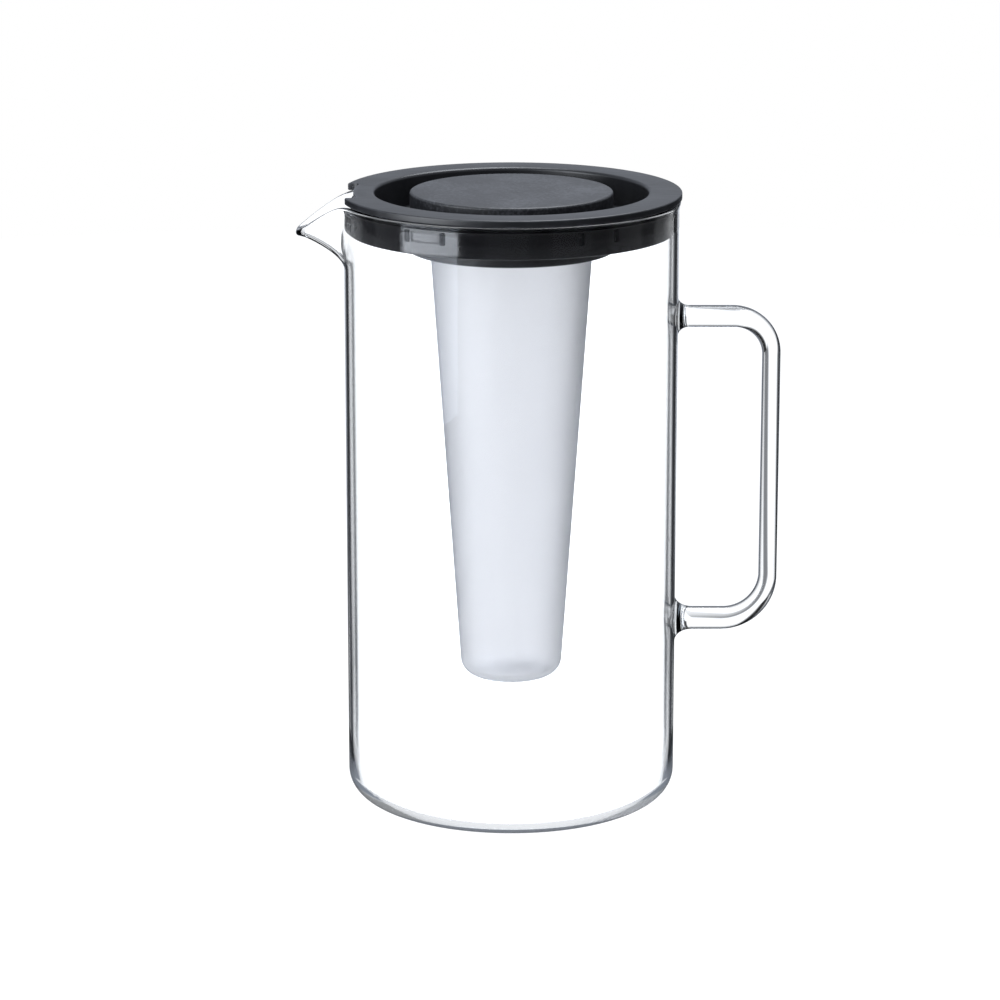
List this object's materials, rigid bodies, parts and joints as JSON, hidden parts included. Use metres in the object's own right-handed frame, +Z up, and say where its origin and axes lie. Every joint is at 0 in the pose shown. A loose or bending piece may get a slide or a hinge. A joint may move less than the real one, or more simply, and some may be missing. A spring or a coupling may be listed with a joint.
{
  "type": "infuser jug",
  "caption": "Straight glass jug with a drawn spout and a glass handle, a turning lift-off lid with strainer, and a hanging tapered insert with a screw cap.",
  "frame": {"origin": "centre of the flat underside of the glass body, on the body's axis", "axes": "+Z up along the body's axis, -X towards the spout, +X towards the handle, +Y to the right when looking from the handle towards the spout"},
  "size_m": [0.183, 0.128, 0.235],
  "materials": {
    "clear_glass": "clear borosilicate, fire-polished",
    "lid_plastic": "fine satin moulding, black",
    "knob_plastic": "matte grained moulding, black",
    "seal_rubber": "soft matte silicone, black",
    "insert_plastic": "translucent, lightly frosted"
  },
  "bodies": {
    "jug": {"glass_body": "clear_glass", "handle": "clear_glass"},
    "seal_ring": {"lid_seal": "seal_rubber"},
    "lid": {"lid_cover": "lid_plastic", "strainer_skirt": "lid_plastic"},
    "insert": {"insert": "insert_plastic"},
    "cap_gasket": {"cap_seal": "seal_rubber"},
    "cap": {"knob_cap": "knob_plastic"}
  },
  "joints": [
    {"name": "lid_lift", "type": "slide", "parent": "jug", "child": "seal_ring", "axis": [0, 0, 1], "range_m": [0, 0.2]},
    {"name": "lid_turn", "type": "hinge", "parent": "seal_ring", "child": "lid", "pos_m": [0, 0, 0.2323], "axis": [0, 0, 1], "continuous": true},
    {"name": "insert_lift", "type": "slide", "parent": "lid", "child": "insert", "axis": [0, 0, 1], "range_m": [0, 0.2]},
    {"name": "cap_rise", "type": "slide", "parent": "insert", "child": "cap_gasket", "axis": [0, 0, 1], "range_m": [0, 0.01]},
    {"name": "cap_turn", "type": "hinge", "parent": "cap_gasket", "child": "cap", "pos_m": [0, 0, 0.2328], "axis": [0, 0, 1], "range_deg": [0, 180]}
  ],
  "couplings": [
    {"joint": "cap_rise", "follows": "cap_turn", "m_per_rad": 0.0031831}
  ]
}
